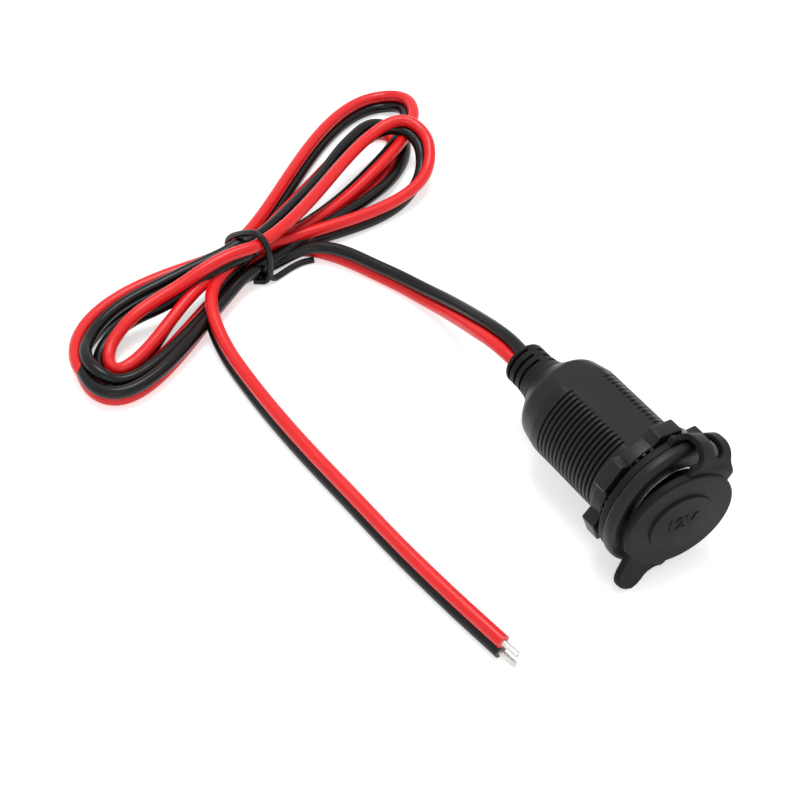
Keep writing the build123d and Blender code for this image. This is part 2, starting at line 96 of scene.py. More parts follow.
class SocketSizes(bpy.types.PropertyGroup):
    """Sizes of the moulded pieces."""
    flange_radius: size("Flange radius", 19.0, "Outer radius of the flange")
    flange_thickness: size("Flange thickness", 3.4, "Depth of the flange along the axis")
    barrel_radius: size("Barrel radius", 14.3, "Radius over the barrel's ridges")
    flat_height: size("Flat height", 12.75, "Distance of the barrel's flats from the axis")
    ridge_pitch: size("Ridge pitch", 1.5, "Distance from one barrel ridge to the next")
    ridge_height: size("Ridge height", 0.8, "Height of a barrel ridge above its groove")
    cap_radius: size("Cap radius", 15.5, "Radius of the dust cap's disc")
    cap_thickness: size("Cap thickness", 2.4, "Thickness of the dust cap's disc")
    strap_width: size("Strap width", 11.6, "Width of the tether strap")
    strap_thickness: size("Strap thickness", 1.5, "Thickness of the tether strap")
    neck_radius: size("Neck radius", 6.2, "Radius of the slotted strain relief")


class LeadSizes(bpy.types.PropertyGroup):
    """Sizes of the twin lead."""
    core_diameter: size("Core diameter", 3.8, "Diameter of one insulated core")
    core_spacing: size("Core spacing", 3.6, "Distance between the middles of the two bonded cores")
    length: size("Lead length", 1230.0, "Length of the lead from the strain relief to its stripped ends")
    strand_diameter: size("Strand bundle", 1.6, "Diameter of a bare conductor end")
    tip_length: size("Bare length", 5.0, "Length of a bare conductor end")


# Small helpers for nodes, meshes and pieces


def add(tree, kind, sets=None, links=None):
    """Add one node, set its attributes or sockets, and link its inputs."""
    node = tree.nodes.new(kind)
    for key, value in (sets or {}).items():
        if isinstance(key, str) and hasattr(node, key):
            setattr(node, key, value)
        else:
            node.inputs[key].default_value = value
    for key, source in (links or {}).items():
        tree.links.new(source, node.inputs[key])
    return node


def around(angle):
    """Direction across the axis, turned from +Z towards +Y by an angle in degrees."""
    return Vector((0.0, math.sin(math.radians(angle)), math.cos(math.radians(angle))))


def axis_place(angle=0.0):
    """Matrix that stands a prism's (across, outwards, along) on the X axis at an angle from +Z towards +Y."""
    out = around(angle)
    along = Vector((1, 0, 0))
    return Matrix((out.cross(along), out, along)).transposed().to_4x4()


def eased(corners, steps=6):
    """Outline from (x, y) or (x, y, radius) corners, with each radius drawn as an arc."""
    points = []
    last = len(corners) - 1
    for i, corner in enumerate(corners):
        here = Vector(corner[:2])
        radius = corner[2] if len(corner) > 2 else 0.0
        if radius == 0.0 or i in (0, last):
            points.append(here)
            continue
        to_before = (Vector(corners[i - 1][:2]) - here).normalized()
        to_after = (Vector(corners[i + 1][:2]) - here).normalized()
        half = to_before.angle(to_after) / 2
        centre = here + (to_before + to_after).normalized() * radius / math.sin(half)
        start = here + to_before * radius / math.tan(half) - centre
        stop = here + to_after * radius / math.tan(half) - centre
        sweep = start.angle_signed(stop)
        for step in range(steps + 1):
            arm = start.copy()
            arm.rotate(Matrix.Rotation(-sweep * step / steps, 2))
            points.append(centre + arm)
    return points


def solid_mesh(name, verts, faces, smooth_angle=32.0):
    """Closed mesh from points in millimetres: doubles merged, faces outwards, smooth below the angle."""
    bm = bmesh.new()
    made = [bm.verts.new(Vector(v) * MM) for v in verts]
    for face in faces:
        bm.faces.new([made[i] for i in face])
    bmesh.ops.remove_doubles(bm, verts=bm.verts, dist=0.004 * MM)
    bmesh.ops.dissolve_degenerate(bm, edges=bm.edges, dist=0.002 * MM)
    bmesh.ops.recalc_face_normals(bm, faces=bm.faces)
    return write_mesh(bm, name, smooth_angle)


def write_mesh(bm, name, smooth_angle=32.0):
    """Shaded mesh from a BMesh, which is freed."""
    mesh = bpy.data.meshes.new(name)
    bm.to_mesh(mesh)
    bm.free()
    shade(mesh, smooth_angle)
    return mesh


def shade(mesh, smooth_angle=32.0):
    """Shade smooth, with edges sharper than the angle kept crisp."""
    mesh.polygons.foreach_set("use_smooth", [True] * len(mesh.polygons))
    mesh.set_sharp_from_angle(angle=math.radians(smooth_angle))


def rings_to_faces(rings, count, closed):
    """Quads between rings of points; closed joins the last ring to the first."""
    faces = []
    for ring in range(rings if closed else rings - 1):
        here, there = ring * count, (ring + 1) % rings * count
        for i in range(count):
            j = (i + 1) % count
            faces.append((here + i, here + j, there + j, there + i))
    return faces


def lathe(name, profile, segments=160, closed=False, shape=None, smooth_angle=32.0):
    """Solid of revolution about X from (x, radius) points; shape may move each point."""
    verts = []
    for x, radius in profile:
        for step in range(segments):
            angle = 2 * math.pi * step / segments
            point = Vector((x, radius * math.sin(angle), radius * math.cos(angle)))
            verts.append(shape(point) if shape else point)
    return solid_mesh(name, verts, rings_to_faces(len(profile), segments, closed), smooth_angle)


def band(name, back, front, inner, outer, rounds):
    """Ring about X; rounds are its edge radii at the inner back, inner front, outer front and outer back."""
    seam = (back, (inner + outer) / 2)
    corners = ((back, inner), (front, inner), (front, outer), (back, outer))
    section = eased([seam, *((*corner, radius) for corner, radius in zip(corners, rounds)), seam])
    return lathe(name, section[:-1], closed=True)


def lift(bm, height, keep=False):
    """Extrude all faces along Z; keep leaves the faces below in place."""
    made = bmesh.ops.extrude_face_region(bm, geom=list(bm.faces), use_keep_orig=keep)["geom"]
    bmesh.ops.translate(bm, vec=(0, 0, height), verts=[v for v in made if isinstance(v, bmesh.types.BMVert)])


def round_edges(bm, angle, radius, segments=3):
    """Round the edges that are sharper than an angle in degrees."""
    bmesh.ops.recalc_face_normals(bm, faces=bm.faces)
    crisp = [e for e in bm.edges if len(e.link_faces) == 2 and e.calc_face_angle(0) > math.radians(angle)]
    bmesh.ops.bevel(
        bm, geom=crisp, offset=radius, segments=segments, profile=0.5, affect="EDGES", clamp_overlap=True)


def prism(name, outline, low, high, edge, place, segments=3):
    """Prism of an outline in (u, v), from low to high along w, with its edges rounded and then put in place."""
    bm = bmesh.new()
    bm.faces.new([bm.verts.new(Vector((u, v, low)) * MM) for u, v in outline])
    lift(bm, (high - low) * MM)
    round_edges(bm, 25.0, edge * MM, segments)
    bm.transform(place)
    bmesh.ops.recalc_face_normals(bm, faces=bm.faces)
    return write_mesh(bm, name)


def run_lengths(path):
    """Length along a path at each of its points."""
    runs = [0.0]
    for before, after in zip(path, path[1:]):
        runs.append(runs[-1] + (after - before).length)
    return runs


def join(name, meshes):
    """One mesh from several closed ones."""
    bm = bmesh.new()
    for mesh in meshes:
        bm.from_mesh(mesh)
        bpy.data.meshes.remove(mesh)
    return write_mesh(bm, name)


def new_object(name, data, *materials):
    """Object in the scene's collection, at the origin, with its materials."""
    obj = bpy.data.objects.new(name, data)
    bpy.context.scene.collection.objects.link(obj)
    for material in materials:
        data.materials.append(material)
    return obj


def dress(obj, body, slot, *nodes):
    """Ride on a body and stand for CAD nodes, which are hidden; the slot is not used."""
    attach(obj, body)
    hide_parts(*nodes)
    return obj


def plain_mesh(obj, name):
    """Plain mesh of an object with its modifiers applied; the source object is removed."""
    depsgraph = bpy.context.evaluated_depsgraph_get()
    mesh = bpy.data.meshes.new_from_object(obj.evaluated_get(depsgraph))
    mesh.name = name
    obj.modifiers.clear()
    bpy.data.objects.remove(obj)
    return mesh


def run_nodes(name, tree, values):
    """Mesh that a Geometry Nodes tree makes with these named inputs."""
    holder = new_object(name, bpy.data.meshes.new(name))
    modifier = holder.modifiers.new(name, "NODES")
    modifier.node_group = tree
    for item in tree.interface.items_tree:
        if item.item_type == "SOCKET" and item.in_out == "INPUT" and item.name in values:
            modifier[item.identifier] = values[item.name]
    return plain_mesh(holder, name)


def new_tree(name, inputs):
    """Geometry Nodes tree with named inputs and one geometry output."""
    tree = bpy.data.node_groups.new(name, "GeometryNodeTree")
    for label, kind in inputs:
        tree.interface.new_socket(label, in_out="INPUT", socket_type=kind)
    tree.interface.new_socket("Geometry", in_out="OUTPUT", socket_type="NodeSocketGeometry")
    return tree


def repeat_tree():
    """Copies one shape around the X axis and along it, each turned and shifted by a fixed step."""
    tree = new_tree("repeat_about_axis", [
        ("Shape", "NodeSocketObject"), ("Count", "NodeSocketInt"), ("Turn", "NodeSocketFloat"),
        ("Start", "NodeSocketFloat"), ("Shift", "NodeSocketFloat")])
    given = add(tree, "NodeGroupInput").outputs
    index = add(tree, "GeometryNodeInputIndex").outputs[0]
    turned = add(tree, "ShaderNodeMath", {"operation": "MULTIPLY_ADD"}, {
        0: index, 1: given["Turn"], 2: given["Start"]})
    shifted = add(tree, "ShaderNodeMath", {"operation": "MULTIPLY"}, {0: index, 1: given["Shift"]})
    place = add(tree, "ShaderNodeCombineXYZ", links={"X": shifted.outputs[0]})
    spin = add(tree, "ShaderNodeCombineXYZ", links={"X": turned.outputs[0]})
    points = add(tree, "GeometryNodePoints", links={"Count": given["Count"], "Position": place.outputs[0]})
    source = add(tree, "GeometryNodeObjectInfo", links={"Object": given["Shape"]})
    copies = add(tree, "GeometryNodeInstanceOnPoints", links={
        "Points": points.outputs[0], "Instance": source.outputs["Geometry"], "Rotation": spin.outputs[0]})
    real = add(tree, "GeometryNodeRealizeInstances", links={0: copies.outputs[0]})
    add(tree, "NodeGroupOutput", links={0: real.outputs[0]})
    return tree


def strand_tree():
    """Bundle of twisted strands along +Z: a circle of lines, turned as they rise, then given thickness."""
    tree = new_tree("twisted_strands", [
        ("Count", "NodeSocketInt"), ("Ring Radius", "NodeSocketFloat"), ("Strand Radius", "NodeSocketFloat"),
        ("Length", "NodeSocketFloat"), ("Twist", "NodeSocketFloat")])
    given = add(tree, "NodeGroupInput").outputs
    ring = add(tree, "GeometryNodeMeshCircle", links={"Vertices": given["Count"], "Radius": given["Ring Radius"]})
    end = add(tree, "ShaderNodeCombineXYZ", links={"Z": given["Length"]})
    line = add(tree, "GeometryNodeCurvePrimitiveLine", links={"End": end.outputs[0]})
    fine = add(tree, "GeometryNodeResampleCurve", {"Count": 14}, {"Curve": line.outputs[0]})
    strands = add(tree, "GeometryNodeInstanceOnPoints", links={"Points": ring.outputs[0], "Instance": fine.outputs[0]})
    real = add(tree, "GeometryNodeRealizeInstances", links={0: strands.outputs[0]})
    where = add(tree, "GeometryNodeInputPosition")
    height = add(tree, "ShaderNodeSeparateXYZ", links={0: where.outputs[0]})
    share = add(tree, "ShaderNodeMath", {"operation": "DIVIDE"}, {0: height.outputs["Z"], 1: given["Length"]})
    angle = add(tree, "ShaderNodeMath", {"operation": "MULTIPLY"}, {0: share.outputs[0], 1: given["Twist"]})
    turned = add(tree, "ShaderNodeVectorRotate", {"rotation_type": "Z_AXIS"}, {
        "Vector": where.outputs[0], "Angle": angle.outputs[0]})
    laid = add(tree, "GeometryNodeSetPosition", links={"Geometry": real.outputs[0], "Position": turned.outputs[0]})
    wire = add(tree, "GeometryNodeCurvePrimitiveCircle", {"Resolution": 8}, {"Radius": given["Strand Radius"]})
    thick = add(tree, "GeometryNodeCurveToMesh", {"Fill Caps": True}, {
        "Curve": laid.outputs[0], "Profile Curve": wire.outputs[0]})
    add(tree, "NodeGroupOutput", links={0: thick.outputs[0]})
    return tree


def tree_named(name, maker):
    """The node tree of that name, made on first use."""
    return bpy.data.node_groups.get(name) or maker()


def repeat(shape, count, turn=0.0, start=0.0, shift=0.0):
    """Mesh of a shape's copies, each turned about the axis and shifted along it from the one before."""
    source = new_object(shape.name, shape)
    mesh = run_nodes(f"{shape.name}_copies", tree_named("repeat_about_axis", repeat_tree), {
        "Shape": source, "Count": count, "Turn": turn, "Start": start, "Shift": shift})
    bpy.data.objects.remove(source)
    return mesh


# Materials


def surface(name, tones, gloss, clouds, marks, settings, stretch=None):
    """Material with a tone and roughness that drift together in clouds, and a fine relief of marks.

    clouds are (size, detail) and marks are (size, depth, strength), in millimetres; stretch draws the marks out.
    """
    material = bpy.data.materials.get(name)
    if material is not None:
        return material
    material = bpy.data.materials.new(name)
    material.use_nodes = True
    tree = material.node_tree
    shader = tree.nodes["Principled BSDF"]
    for label, value in settings.items():
        shader.inputs[label].default_value = value
    place = add(tree, "ShaderNodeTexCoord").outputs["Object"]
    drift = add(tree, "ShaderNodeTexNoise", {"Scale": 1 / (clouds[0] * MM), "Detail": clouds[1]}, {"Vector": place})
    tone = add(tree, "ShaderNodeMix", {"data_type": "RGBA", 6: (*tones[0], 1), 7: (*tones[1], 1)}, {
        0: drift.outputs["Fac"]})
    tree.links.new(tone.outputs[2], shader.inputs["Base Color"])
    rough = add(tree, "ShaderNodeMapRange", {
        "From Min": 0.3, "From Max": 0.7, "To Min": gloss[0], "To Max": gloss[1]}, {"Value": drift.outputs["Fac"]})
    tree.links.new(rough.outputs[0], shader.inputs["Roughness"])
    if stretch is not None:
        place = add(tree, "ShaderNodeMapping", {"Scale": stretch}, {"Vector": place}).outputs[0]
    grit = add(tree, "ShaderNodeTexNoise", {"Scale": 1 / (marks[0] * MM), "Detail": 2.0}, {"Vector": place})
    bump = add(tree, "ShaderNodeBump", {"Strength": marks[2], "Distance": marks[1] * MM}, {
        "Height": grit.outputs["Fac"]})
    tree.links.new(bump.outputs[0], shader.inputs["Normal"])
    return material


def moulded(name, colour, paler, roughness, grain, relief, cloud=7.0, sheen=0.0, ior=1.33):
    """Moulded polymer: an even dark tone with faint paler clouds, a fine eroded grain and a soft, broken gloss."""
    return surface(name, (colour, paler), (roughness - 0.05, roughness + 0.07), (cloud, 3.0), (grain, relief, 0.6), {
        "IOR": ior, "Sheen Weight": sheen, "Sheen Roughness": 0.5})


def lighter(colour, factor):
    """The same colour, a little paler."""
    return tuple(min(1.0, c * factor + 0.002) for c in colour)


def housing_abs():
    """Spark-textured ABS: satin, with a grain of about 0.3 mm drawn at 0.45 mm so that it shows."""
    colour = bpy.context.scene.socket_colours.housing
    return moulded("black_abs_moulding", colour, lighter(colour, 1.25), 0.40, 0.45, 0.03)


def nut_nylon():
    """Glass-filled nylon: greyer and a little glossier than the ABS, with a slight flow mottle."""
    colour = bpy.context.scene.socket_colours.nut
    return moulded("black_nylon_moulding", colour, lighter(colour, 1.3), 0.36, 0.6, 0.02, cloud=4.0)


def cap_rubber():
    """Soft thermoplastic rubber: matt, with little gloss and a trace of bloom at a glance along the surface."""
    colour = bpy.context.scene.socket_colours.rubber
    return moulded("black_soft_rubber", colour, lighter(colour, 1.3), 0.52, 0.35, 0.02, sheen=0.01, ior=1.25)


def core_pvc(name, colour, roughness, ior):
    """Extruded PVC insulation: smooth and glossy, with a faint orange peel of about 1 mm."""
    return moulded(name, colour, lighter(colour, 1.08), roughness, 1.1, 0.005, cloud=16.0, ior=ior)


def red_pvc():
    """Insulation of the positive core."""
    return core_pvc("red_pvc_insulation", bpy.context.scene.socket_colours.red_core, 0.30, 1.45)


def black_pvc():
    """Insulation of the negative core."""
    return core_pvc("black_pvc_insulation", bpy.context.scene.socket_colours.black_core, 0.22, 1.33)


def tie_pvc():
    """Skin of the twist tie: PVC drawn over wire, smooth and dark."""
    colour = bpy.context.scene.socket_colours.tie
    return moulded("black_pvc_tie", colour, lighter(colour, 1.2), 0.38, 0.5, 0.01, cloud=3.0)


def metal(name, colour, stain, roughness, mark, relief, stretch=None):
    """Worked metal: bright, with fine tool marks and a little uneven tarnish."""
    return surface(name, (linear(colour), linear(stain)), (roughness - 0.06, roughness + 0.1), (3.0, 4.0), (
        mark, relief, 0.5), {"Metallic": 1.0}, stretch)


def nickel():
    """Nickel-plated drawn cup: bright and slightly warm, with faint draw lines along its axis."""
    return metal("nickel_plated_steel", "#dedad3", "#c9c3b8", 0.30, 0.4, 0.003, (0.05, 1.0, 1.0))


def brass():
    """Turned brass: yellow, with fine lathe rings across the axis."""
    return metal("turned_brass", "#c9a55a", "#a98742", 0.26, 0.25, 0.01, (1.0, 0.1, 0.1))


def tinned_copper():
    """Tinned copper: pale grey, with a soft gloss and a duller bloom in patches."""
    return metal("tinned_copper", "#cfccc7", "#a8a29a", 0.30, 0.3, 0.02)


def spring_steel():
    """Rolled spring steel: darker grey, with straight rolling marks."""
    return metal("rolled_spring_steel", "#a9a9ab", "#8c8b8c", 0.28, 0.3, 0.01, (1.0, 0.1, 1.0))


def phenolic():
    """Pressed phenolic board: warm brown with a paper fleck of about 0.8 mm and a dull sawn face."""
    return moulded("pressed_phenolic", linear("#5a3a24"), linear("#7a5335"), 0.55, 0.8, 0.03, cloud=0.8)


# Stage

CAMERA_PLACE = (175.96, -197.70, 310.58)
CAMERA_RIGHT = (0.5592, 0.8290, 0.0)
CAMERA_UP = (-0.6063, 0.4090, 0.6820)
CAMERA_BACK = (0.5654, -0.38137, 0.73135)
CAMERA_LENS, CAMERA_SENSOR, CAMERA_NEAR = 72.0, 36.0, 0.01
# Softboxes: name, place in metres, width in metres and watts
LAMPS = [("overhead_softbox", (-0.25, 0.1, 0.95), 0.5, 5.4), ("side_softbox", (0.7, -0.75, 0.55), 0.7, 1.6)]
LAMP_AIM = (-0.06, -0.02, -0.01)
SKY_LIGHT = 0.55
FLOOR_HALF = 2.0
FLOOR_GREY, FLOOR_GLOW = 0.86, 0.55
WHITE = (1.0, 1.0, 1.0, 1.0)


def seen_rays(tree):
    """Output that is 1 for what the camera sees directly, in reflections or through glass, and 0 for diffuse light."""
    rays = add(tree, "ShaderNodeLightPath").outputs
    seen = rays["Is Camera Ray"]
    for kind in ("Is Glossy Ray", "Is Transmission Ray"):
        seen = add(tree, "ShaderNodeMath", {"operation": "MAXIMUM"}, {0: seen, 1: rays[kind]}).outputs[0]
    return seen


class SOCKET_OT_stage(bpy.types.Operator):
    """Camera at the photograph's viewing angle, soft studio light and a pale floor"""
    bl_idname = "power_socket.stage"
    bl_label = "Stage"

    def execute(self, context):
        scene = context.scene
        scene.view_settings.view_transform = "Standard"
        lens = bpy.data.cameras.new("camera")
        lens.lens = CAMERA_LENS
        lens.sensor_width = CAMERA_SENSOR
        lens.clip_start = CAMERA_NEAR
        camera = bpy.data.objects.new("camera", lens)
        axes = Matrix((CAMERA_RIGHT, CAMERA_UP, CAMERA_BACK)).transposed().to_4x4()
        camera.matrix_world = Matrix.Translation(Vector(CAMERA_PLACE) * MM) @ axes
        scene.collection.objects.link(camera)
        scene.camera = camera
        for lamp in LAMPS:
            self.lamp(scene, *lamp)
        self.world(scene)
        self.floor()
        return {"FINISHED"}

    def lamp(self, scene, name, place, width, watts):
        """Square softbox that looks at the middle of the object."""
        light = bpy.data.lights.new(name, "AREA")
        light.size = width
        light.energy = watts
        obj = bpy.data.objects.new(name, light)
        aim = Vector(LAMP_AIM) - Vector(place)
        obj.matrix_world = Matrix.Translation(place) @ aim.to_track_quat("-Z", "Y").to_matrix().to_4x4()
        scene.collection.objects.link(obj)

    def world(self, scene):
        """White surroundings, dimmer for diffuse light than for what the camera and reflections see."""
        scene.world = bpy.data.worlds.new("studio")
        scene.world.use_nodes = True
        tree = scene.world.node_tree
        level = add(tree, "ShaderNodeMapRange", {"To Min": SKY_LIGHT, "To Max": 1.0}, {"Value": seen_rays(tree)})
        background = tree.nodes["Background"]
        background.inputs["Color"].default_value = WHITE
        tree.links.new(level.outputs[0], background.inputs["Strength"])

    def floor(self):
        """Pale floor that shows white to the camera and keeps the soft shadow."""
        mesh = bpy.data.meshes.new("floor")
        corners = ((-1, -1), (1, -1), (1, 1), (-1, 1))
        mesh.from_pydata([(x * FLOOR_HALF, y * FLOOR_HALF, FLOOR * MM) for x, y in corners], [], [(0, 1, 2, 3)])
        material = bpy.data.materials.new("white_paper_sweep")
        material.use_nodes = True
        tree = material.node_tree
        shader = tree.nodes["Principled BSDF"]
        shader.inputs["Base Color"].default_value = (FLOOR_GREY, FLOOR_GREY, FLOOR_GREY, 1.0)
        shader.inputs["Roughness"].default_value = 0.9
        shader.inputs["Specular IOR Level"].default_value = 0.0
        shader.inputs["Emission Color"].default_value = WHITE
        glow = add(tree, "ShaderNodeMath", {"operation": "MULTIPLY", 1: FLOOR_GLOW}, {0: seen_rays(tree)})
        tree.links.new(glow.outputs[0], shader.inputs["Emission Strength"])
        new_object("floor", mesh, material)


# Twin lead: middle line of the two bonded cores, with the roll that says which core is on top

# Loose stretches: x, y, z in millimetres and roll in degrees
LEAD = [
    (-57.0, 0.0, 0.0, 205), (-63.0, 0.2, 0.0, 232), (-70.5, 0.5, -1.4, 236), (-79.5, 1.1, -4.6, 228),
    (-88.0, 2.0, -8.2, 215), (-97.0, 2.6, -11.8, 202), (-107.0, 1.8, -14.6, 192), (-116.5, -0.6, -15.3, 185),
    (-125.0, -4.0, -15.3, 180), (-133.3, -7.2, -15.3, 180), (-138.8, -10.4, -15.3, 172), (-143.8, -14.6, -15.6, 150),
    (-146.6, -20.0, -16.4, 115), (-147.4, -26.0, -17.1, 92),
]
TAIL = [
    (-145.0, -43.0, -11.6, 360), (-141.3, -50.0, -12.2, 360), (-135.0, -54.8, -12.3, 350), (-127.0, -57.4, -13.6, 350),
    (-117.0, -58.9, -15.1, 350), (-106.0, -59.5, -15.3, 350), (-92.0, -59.9, -15.3, 350), (-74.0, -59.6, -15.3, 350),
    (-54.0, -58.4, -15.3, 350), (-33.0, -57.4, -15.3, 350), (-14.0, -55.6, -15.3, 350), (-4.0, -54.4, -15.3, 350),
    (6.1, -53.1, -15.3, 350),
]
TIE_CENTRE = (-147.0, -33.0)
HANK_BEARING = 106.0
FOLD_POINTS = 21
FOLD_START = 0.36

# One fold of the hank: a teardrop out from the tie and back.
# out and back are its offsets at the tie, lift is its height over the floor along the fold,
# and roll is 0 with the red core on top, 90 with it on the right and 180 with the black one on top.
Fold = namedtuple("Fold", "bearing reach width fullness sway out back lift roll")
FOLDS = [
    Fold(-86.0, 63.6, 24.7, 1.93, 9.4, 1.0, -6.5,
         [(0, 0), (0.4, 0), (0.5, 3.6), (0.85, 3.8), (1, 5.5)],
         [(0, 90), (0.12, 125), (0.38, 140), (0.52, 230), (0.62, 270), (0.74, 262), (0.88, 224), (1, 215)]),
    Fold(105.0, 77.4, 19.5, 1.89, 12.6, 5.0, -1.5,
         [(0, 5.5), (0.15, 3.5), (0.3, 0), (0.85, 0), (1, 3.8)],
         [(0, 215), (0.25, 225), (0.36, 195), (0.5, 95), (0.62, 100), (0.8, 146), (1, 90)]),
    Fold(-86.7, 65.0, 30.0, 1.69, 14.0, 2.5, -6.5,
         [(0, 3.8), (0.15, 0), (0.85, 0), (1, 1.5)],
         [(0, 90), (0.12, 150), (0.42, 165), (0.52, 175), (0.7, 285), (0.9, 290), (1, 320)]),
    Fold(114.8, 91.2, 25.0, 1.86, 5.2, 8.0, 0.5,
         [(0, 1.5), (0.15, 0), (0.45, 0), (0.6, 4), (0.68, 4), (0.8, 0), (0.88, 1), (1, 6.5)],
         [(0, 330), (0.3, 340), (0.5, 335), (0.62, 308), (0.85, 308), (1, 325)]),
    Fold(-88.3, 57.6, 13.6, 6.0, 13.0, -0.5, 3.5,
         [(0, 6.5), (0.15, 5), (0.35, 0), (0.55, 0), (0.72, 4.5), (0.85, 9.5), (1, 9.2)],
         [(0, 325), (0.15, 322), (0.24, 325), (0.55, 425), (0.62, 410), (0.74, 355), (0.86, 370), (1, 398)]),
    Fold(95.9, 73.2, 23.6, 2.5, 10.1, -2.2, 2.6,
         [(0, 9.2), (0.3, 7.6), (0.44, 9), (0.52, 8), (0.62, 2), (0.7, 0), (0.86, 1), (1, 5)],
         [(0, 398), (0.15, 398), (0.38, 398), (0.5, 310), (0.6, 315), (0.72, 360), (1, 360)]),
]


def along_steps(steps, share):
    """Value at a share of the fold, eased between the given (share, value) steps."""
    for (low, here), (high, there) in zip(steps, steps[1:]):
        if share <= high:
            t = (share - low) / (high - low)
            return here + (there - here) * t * t * (3 - 2 * t)
    return steps[-1][1]


def fold_points(fold, radius, half_spacing):
    """Middle points and rolls of one fold of the hank."""
    aim = Vector((math.cos(math.radians(fold.bearing)), math.sin(math.radians(fold.bearing))))
    across = Vector((-aim.y, aim.x))
    peak = max(math.sin(t) * math.sin(t / 2) ** fold.fullness for t in (math.pi * i / 89 for i in range(90)))
    points = []
    for step in range(FOLD_POINTS):
        turn = FOLD_START + (2 * math.pi - 2 * FOLD_START) * step / (FOLD_POINTS - 1)
        share = turn / (2 * math.pi)
        reach = (1 - math.cos(turn)) / 2
        pear = math.sin(turn) * abs(math.sin(turn / 2)) ** fold.fullness / peak * fold.width / 2
        base = fold.out + (fold.back - fold.out) * share
        aside = pear + base * (1 - reach) + fold.sway * reach ** 2
        place = Vector(TIE_CENTRE) + aim * fold.reach * reach + across * aside
        roll = along_steps(fold.roll, share)
        height = FLOOR + radius + half_spacing * abs(math.cos(math.radians(roll))) + along_steps(fold.lift, share)
        points.append((Vector((place.x, place.y, height)), roll))
    return points


def lead_line(radius, half_spacing):
    """Middle points of the whole lead with the roll at each."""
    line = [(Vector(point[:3]), point[3]) for point in LEAD]
    for fold in FOLDS:
        line += fold_points(fold, radius, half_spacing)
    return line + [(Vector(point[:3]), point[3]) for point in TAIL]


def core_points(line, offset):
    """Control points of one core, beside the middle line by the offset along the roll."""
    points = []
    for i, (point, roll) in enumerate(line):
        run = line[min(i + 1, len(line) - 1)][0] - line[max(i - 1, 0)][0]
        run.normalize()
        upright = (Vector((0, 0, 1)) - run * run.z).normalized()
        right = run.cross(upright)
        angle = math.radians(roll)
        points.append(point + (upright * math.cos(angle) + right * math.sin(angle)) * offset)
    return points


def smooth_curve(name, points, radius, cyclic=False):
    """NURBS curve through the control points, in metres, with a round section."""
    curve = bpy.data.curves.new(name, "CURVE")
    curve.dimensions = "3D"
    spline = curve.splines.new("NURBS")
    spline.points.add(len(points) - 1)
    for control, point in zip(spline.points, points):
        control.co = (*(point * MM), 1.0)
    spline.order_u = 3
    spline.use_endpoint_u = not cyclic
    spline.use_cyclic_u = cyclic
    spline.resolution_u = 6
    curve.bevel_depth = radius * MM
    curve.bevel_resolution = 5
    curve.use_fill_caps = True
    return curve


# Bare ends: twisted strands with a share of the bundle as their radius, swollen to touch, on a buried foot
STRANDS, STRAND_SHARE, STRAND_SWELL = 7, 0.19, 1.25
STRAND_TWIST = math.radians(200)
STRAND_FOOT = 1.0

# Twist tie: its loop as (across, height) around the bundle, and its two ends on the floor
TIE_WIRE = 1.0
TIE_LOOP = [
    (5.2, 1.0), (6.7, 3.6), (7.0, 7.6), (6.9, 12.4), (5.2, 16.6), (2.0, 17.4), (-1.6, 15.6), (-5.8, 12.6),
    (-9.4, 9.6), (-11.2, 6.4), (-10.6, 2.6), (-7.4, 0.95), (-2.0, 0.95), (2.4, 0.95),
]
TIE_END = [
    (-140.8, -31.4, -15.6), (-140.6, -30.4, -17.8), (-141.2, -27.6, -18.0), (-142.0, -24.0, -18.0),
    (-142.4, -20.6, -18.0), (-142.2, -17.8, -18.0), (-141.4, -15.4, -18.0),
]
TIE_STUB = [(-140.8, -31.4, -15.6), (-140.9, -32.2, -17.8), (-142.2, -34.0, -18.0), (-143.4, -35.4, -18.0)]


